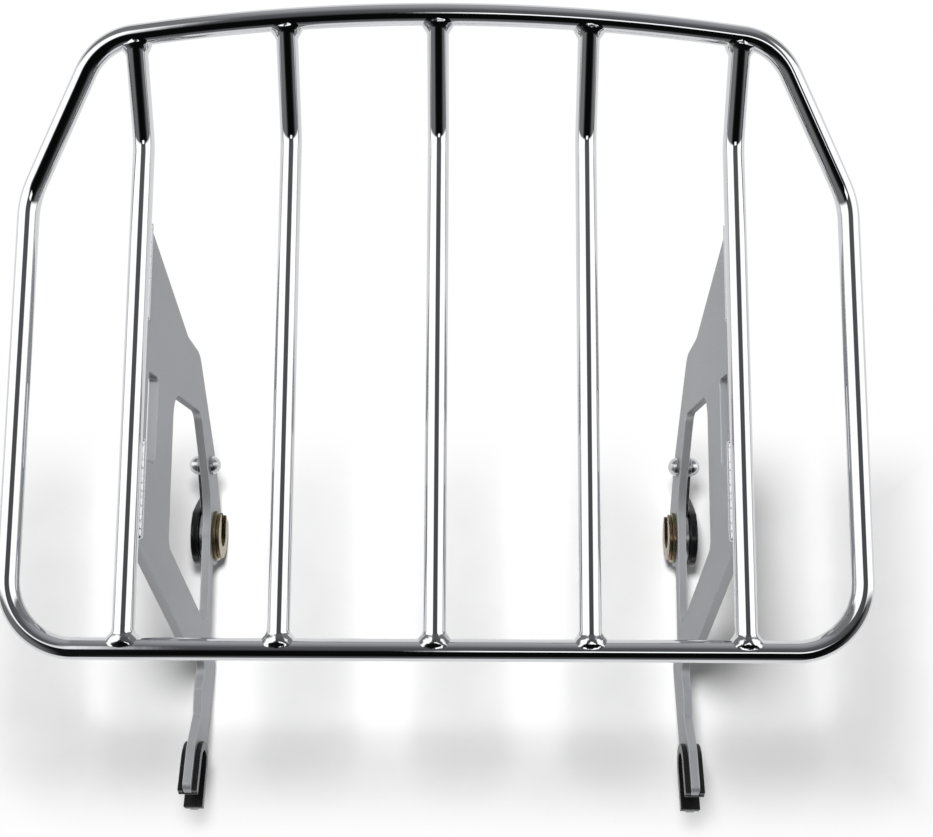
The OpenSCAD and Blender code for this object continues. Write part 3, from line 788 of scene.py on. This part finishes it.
for piece in [hoop, *bars.values()]:
    wear(piece, rod_chrome, "rod_chrome")
for piece in [front_weld_piece, rear_weld_piece]:
    wear(piece, weld_chrome, "weld_chrome")
for piece in plate_weld_pieces:
    wear(piece, dull_chrome, "weld_chrome")
FINISH_OF = {
    "side_plate": (plate_chrome, "plate_chrome"),
    "notch_liner": (liner_black, "black_plastic"),
    "keeper_strap": (bare_steel, "steel"),
    "dome_rivet": (dull_chrome, "rod_chrome"),
    "latch_barrel": (yellow_zinc, "zinc"),
    "retaining_ring": (yellow_zinc, "zinc"),
    "latch_lever": (lever_black, "black_plastic"),
    "lever_screw": (bare_steel, "steel"),
}
for (kind, side), piece in soft.items():
    wear(piece, *FINISH_OF[kind])
print("finishes:", sorted(m.name for m in bpy.data.materials if m.users))

# %% [markdown]
# ## Studio floor
#
# A chrome rack is shown on white paper, with only a soft shadow under it. The floor is a
# plain diffuse grey that takes the shadow, and beyond the shadow's ends and sides it turns
# into paper that glows white for the camera and in the chrome. It stays a plain floor for
# every other ray, so it adds no light to the rack.

# %% Floor
FLOOR_SIZE, FLOOR_SQUARES = 8, 8
FLOOR_DROP = 0.2 * MM
floor_z = cad_box[0][2] - FLOOR_DROP
floor_middle = (0, 0.2, floor_z)
deselect_all()
bpy.ops.mesh.primitive_grid_add(
    x_subdivisions=FLOOR_SQUARES, y_subdivisions=FLOOR_SQUARES, size=FLOOR_SIZE, location=floor_middle
)
floor = bpy.context.object
bpy.ops.object.transform_apply(location=True, rotation=True, scale=True)
floor.name = "floor"
floor_finish, nodes, links, shader, place = new_finish("white_floor")
grain = noise(nodes, links, place.outputs["Object"], scale=30, detail=3)
stops = [(NOISE_LOW, (0.44, 0.44, 0.44)), (NOISE_HIGH, (0.46, 0.46, 0.46))]
links.new(colours(nodes, links, grain, stops), shader.inputs["Base Color"])
shader.inputs["Roughness"].default_value = 0.6
shader.inputs["Specular IOR Level"].default_value = 0.0
floor.data.materials.append(floor_finish)
print(f"floor at {floor_z * 1000:.1f} mm")


# %% Sums made of nodes
def smooth_step(value, start, stop, low=0.0, high=1.0):
    """Goes softly from low to high while the value goes from start to stop."""
    step = nodes.new("ShaderNodeMapRange")
    step.interpolation_type = "SMOOTHSTEP"
    step.inputs["From Min"].default_value = start
    step.inputs["From Max"].default_value = stop
    step.inputs["To Min"].default_value = low
    step.inputs["To Max"].default_value = high
    links.new(value, step.inputs["Value"])
    return step.outputs["Result"]


def calculate(operation, first, second=None):
    sum_node = nodes.new("ShaderNodeMath")
    sum_node.operation = operation
    for socket, value in zip(sum_node.inputs, (first, second)):
        if isinstance(value, (int, float)):
            socket.default_value = value
        elif value is not None:
            links.new(value, socket)
    return sum_node.outputs["Value"]


def distance_from(value, middle):
    return calculate("ABSOLUTE", calculate("SUBTRACT", value, middle))


# %% White paper beyond the shadow
SHADOW_MIDDLE = 0.070
END_START, END_STOP = 0.07, 0.13
SIDE_START, SIDE_STOP = 0.25, 0.32
split = nodes.new("ShaderNodeSeparateXYZ")
links.new(place.outputs["Object"], split.inputs["Vector"])
from_middle = distance_from(split.outputs["Y"], SHADOW_MIDDLE)
beyond_ends = smooth_step(from_middle, END_START, END_STOP)
beyond_sides = smooth_step(calculate("ABSOLUTE", split.outputs["X"]), SIDE_START, SIDE_STOP)
rays = nodes.new("ShaderNodeLightPath")
seen = calculate("MAXIMUM", rays.outputs["Is Camera Ray"], rays.outputs["Is Glossy Ray"])
share = calculate("MULTIPLY", calculate("MAXIMUM", beyond_ends, beyond_sides), seen)
paper = nodes.new("ShaderNodeEmission")
blend = nodes.new("ShaderNodeMixShader")
links.new(share, blend.inputs["Fac"])
links.new(shader.outputs["BSDF"], blend.inputs[1])
links.new(paper.outputs["Emission"], blend.inputs[2])
links.new(blend.outputs["Shader"], nodes["Material Output"].inputs["Surface"])
print(f"paper is white {END_STOP * 1000:.0f} mm from the middle and {SIDE_STOP * 1000:.0f} mm aside")

# %% [markdown]
# ## Studio room
#
# A mirror shows its room. Seen from above, a level rod reflects the sides of the room in
# its flanks and the ceiling along its middle, so its look is set by the room and not by
# the metal. The world is that room, drawn by sums on the direction of a ray: two tall white
# walls stand left and right, the front is nearly black and the rear is grey. The ceiling
# between them is dark with one light panel in it. The camera itself sees plain white where
# the floor ends.

# %% Sums for the room
world = bpy.data.worlds.new("studio")
bpy.context.scene.world = world
world.use_nodes = True
nodes, links = world.node_tree.nodes, world.node_tree.links
place = nodes.new("ShaderNodeTexCoord")
split = nodes.new("ShaderNodeSeparateXYZ")
links.new(place.outputs["Generated"], split.inputs["Vector"])
across, along, height = split.outputs["X"], split.outputs["Y"], split.outputs["Z"]


def towards(first, second, share):
    """The number that lies at share of the way from first to second."""
    return calculate("ADD", first, calculate("MULTIPLY", share, calculate("SUBTRACT", second, first)))


def mixed_colour(share, first, second):
    """A link or a plain colour, mixed with another by share."""
    mix = nodes.new("ShaderNodeMix")
    mix.data_type = "RGBA"
    links.new(share, mix.inputs["Factor"])
    for socket, colour in ((mix.inputs["A"], first), (mix.inputs["B"], second)):
        if isinstance(colour, tuple):
            socket.default_value = colour
        else:
            links.new(colour, socket)
    return mix.outputs["Result"]


# %% Walls
WALL_LIGHT, REAR_LIGHT = 1.7, 0.25
FRONT_DARK, FRONT_LIGHT = 0.01, 0.22
ROOM_ACROSS, ROOM_ALONG = 0.12, 0.17
WALL_EDGE_START, WALL_EDGE_STOP = 0.33, 0.45
WALL_FADE_START, WALL_FADE_STOP = 0.17, 0.32
WALL_SPREAD = 0.03
aside = distance_from(across, ROOM_ACROSS)
spread = smooth_step(aside, start=0.3, stop=0.9, high=WALL_SPREAD)
beyond_middle = calculate("SUBTRACT", distance_from(along, ROOM_ALONG), spread)
wall_end = smooth_step(beyond_middle, WALL_FADE_START, WALL_FADE_STOP)
front_wall = smooth_step(aside, start=0.50, stop=0.80, low=FRONT_DARK, high=FRONT_LIGHT)
rear_share = smooth_step(along, start=0.0, stop=0.3)
dim_wall = towards(front_wall, REAR_LIGHT, rear_share)
wall = towards(WALL_LIGHT, dim_wall, wall_end)
wall_share = smooth_step(aside, WALL_EDGE_START, WALL_EDGE_STOP)
wall_colour = nodes.new("ShaderNodeCombineColor")
for channel in ("Red", "Green", "Blue"):
    links.new(wall, wall_colour.inputs[channel])
print(f"side walls {WALL_LIGHT}, rear {REAR_LIGHT}, front {FRONT_DARK} to {FRONT_LIGHT}")

# %% Ceiling and its light panel
PANEL_ACROSS, PANEL_ALONG = 0.14, -0.17
from_panel_x = distance_from(across, PANEL_ACROSS)
from_panel_y = distance_from(along, PANEL_ALONG)
panel_width = smooth_step(from_panel_x, start=0.13, stop=0.20, low=1, high=0)
panel_length = smooth_step(from_panel_y, start=0.07, stop=0.11, low=1, high=0)
panel = calculate("MULTIPLY", calculate("MULTIPLY", panel_width, panel_length), height)
front_to_rear = calculate("ADD", calculate("MULTIPLY", along, 0.5), 0.5)
ceiling_tones = [
    (0.0, (0.18, 0.18, 0.185)),
    (0.05, (0.004, 0.004, 0.004)),
    (0.38, (0.004, 0.004, 0.004)),
    (0.5, (0.10, 0.10, 0.105)),
    (0.72, (0.14, 0.14, 0.15)),
    (0.97, (0.50, 0.50, 0.52)),
]
ceiling = colours(nodes, links, front_to_rear, ceiling_tones)
print("ceiling tones:", len(ceiling_tones))

# %% The room put together
PANEL_COLOUR = (WALL_LIGHT, WALL_LIGHT, WALL_LIGHT, 1)
WHITE = (1.0, 1.0, 1.0, 1.0)
room = mixed_colour(wall_share, ceiling, wall_colour.outputs["Color"])
lit_room = mixed_colour(panel, room, PANEL_COLOUR)
rays = nodes.new("ShaderNodeLightPath")
seen_room = mixed_colour(rays.outputs["Is Camera Ray"], lit_room, WHITE)
background = nodes["Background"]
links.new(seen_room, background.inputs["Color"])
background.inputs["Strength"].default_value = 1.0
print("nodes in the world:", len(nodes))

# %% [markdown]
# ## Studio lamps
#
# The room lights the chrome, and two soft lamps above the back of the deck do the rest. Each
# is linked to what it lights: one shines on the floor alone and draws the rack's shadow
# there, and a weaker one lights the flat pieces alone, so that the satin plates are lighter
# on top. Neither is seen by the camera or in the chrome.

# %% Lamps
LAMP_AT = Vector((-0.031, 0.32, 0.81))


def studio_lamp(name, target, size, power, receivers):
    """A soft lamp that lights only the receivers."""
    aim = (Vector(target) - LAMP_AT).to_track_quat("-Z", "Y").to_euler()
    bpy.ops.object.light_add(type="AREA", location=LAMP_AT, rotation=aim)
    lamp = bpy.context.object
    lamp.name = name
    lamp.data.shape = "DISK"
    lamp.data.size = size
    lamp.data.energy = power
    lamp.visible_camera = False
    lamp.visible_glossy = False
    lit = bpy.data.collections.new("lit_by_" + name)
    for obj in receivers:
        lit.objects.link(obj)
    lamp.light_linking.receiver_collection = lit
    print(f"{name}: {power} W on {len(receivers)} pieces")


studio_lamp("shadow_lamp", target=(-0.02, 0.05, floor_z), size=0.20, power=17.0, receivers=[floor])
studio_lamp("rack_lamp", target=(0, 0.15, 0.08), size=0.30, power=6.0, receivers=list(soft.values()))

# %% [markdown]
# ## Camera
#
# The camera hangs above the front of the deck and looks almost straight down, with a small
# tilt to the rear. Its place and angles were worked out from the five parallel bars.

# %% Camera
SENSOR = 36.0
IMAGE_W = 933
FOCAL_PX = 1300
camera_at = Vector((0.01699, 0.08251, 0.74504))
tilt, yaw, roll = 0.1499, -0.0055, 0.0046
look = Vector((math.sin(yaw), math.sin(tilt) * math.cos(yaw), -math.cos(tilt) * math.cos(yaw)))
right = look.cross(to_rear).normalized()
above = right.cross(look)
right, above = (
    math.cos(roll) * right + math.sin(roll) * above,
    -math.sin(roll) * right + math.cos(roll) * above,
)
camera_data = bpy.data.cameras.new("camera")
camera_data.sensor_width = SENSOR
camera_data.lens = SENSOR * FOCAL_PX / IMAGE_W
camera = bpy.data.objects.new("camera", camera_data)
bpy.context.collection.objects.link(camera)
pose = Matrix((right, above, -look)).transposed().to_4x4()
pose.translation = camera_at
camera.matrix_world = pose
bpy.context.scene.camera = camera
bpy.context.scene.view_settings.view_transform = "Standard"
print(f"lens {camera_data.lens:.1f} mm")

# %% Sizes
print("CAD box   ", [[round(c, 4) for c in v] for v in cad_box])
